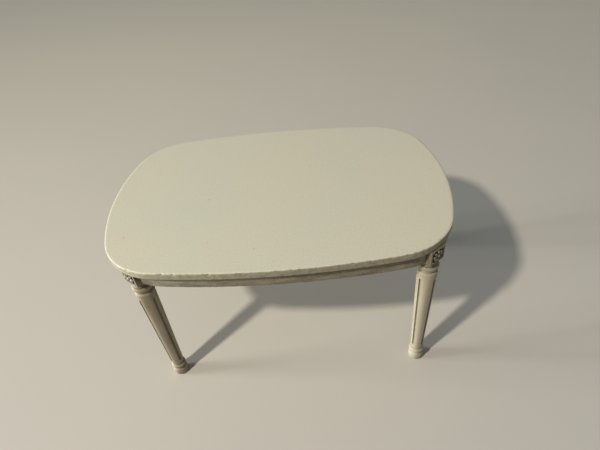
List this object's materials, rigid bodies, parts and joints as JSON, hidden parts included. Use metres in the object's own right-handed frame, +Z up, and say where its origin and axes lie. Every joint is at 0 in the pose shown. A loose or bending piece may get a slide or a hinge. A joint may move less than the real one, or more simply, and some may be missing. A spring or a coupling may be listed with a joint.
{
  "type": "miniature dining table",
  "caption": "Dolls' house dining table: thin bowed top on curved rails, with turned and fluted legs under carved corner blocks.",
  "frame": {"origin": "on the floor, under the middle of the top", "axes": "+Z up, +X along the length of the table, +Y across it towards the back"},
  "size_m": [0.09, 0.0606, 0.0475],
  "materials": {
    "top_paint": "matte cream paint, sprayed on fine wood",
    "rail_paint": "thin rough cream paint on a sawn edge",
    "leg_paint": "satin cream paint, dull brown in the hollows"
  },
  "bodies": {
    "root": {"top_board": "top_paint", "front_rail": "rail_paint", "back_rail": "rail_paint", "left_rail": "rail_paint", "right_rail": "rail_paint", "front_left_leg": "leg_paint", "front_right_leg": "leg_paint", "back_left_leg": "leg_paint", "back_right_leg": "leg_paint"}
  },
  "joints": []
}
